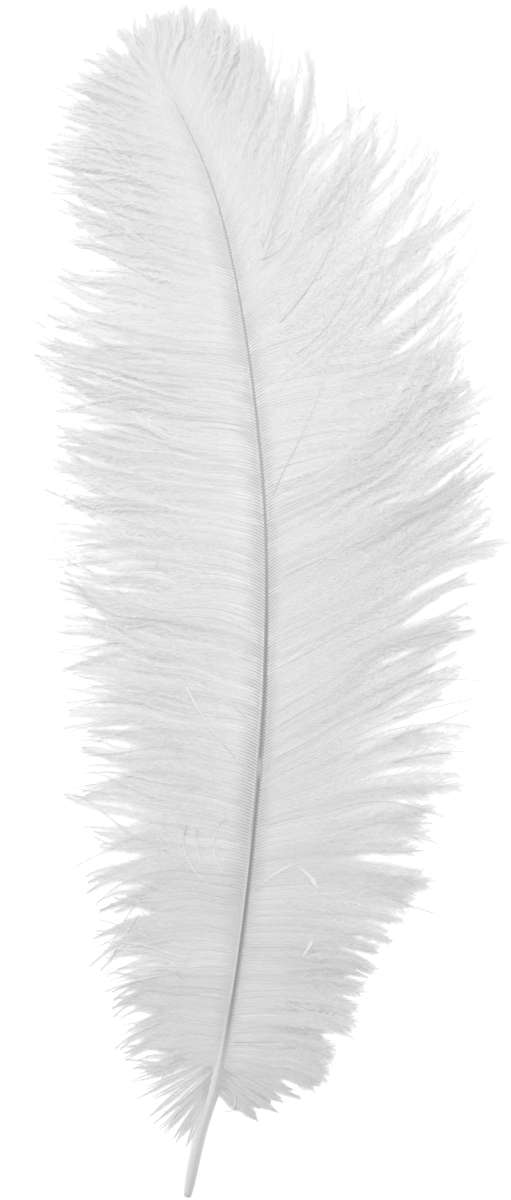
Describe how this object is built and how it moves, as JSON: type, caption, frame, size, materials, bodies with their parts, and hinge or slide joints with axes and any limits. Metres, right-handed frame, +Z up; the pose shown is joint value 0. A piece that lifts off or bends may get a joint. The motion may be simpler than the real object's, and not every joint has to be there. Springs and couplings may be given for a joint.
{
  "type": "ostrich feather",
  "caption": "White ostrich plume lying on its back: a tapering grooved shaft with soft barbs that fan out from both sides to loose, pointed locks.",
  "frame": {"origin": "middle of the plume's footprint, on the surface it lies on", "axes": "+Y runs along the plume from the quill's end towards its tip, +X to the right of the shaft seen from above, +Z up from the surface towards the grooved side of the shaft"},
  "size_m": [0.142, 0.3502, 0.0095],
  "materials": {
    "horn": "pale grey-white keratin, satin",
    "barbs": "white feather barbs, soft and matt",
    "down": "white down, soft and matt"
  },
  "bodies": {
    "root": {"shaft": "horn", "vane_left": "barbs", "vane_right": "barbs", "down_left": "down", "down_right": "down"}
  },
  "joints": []
}
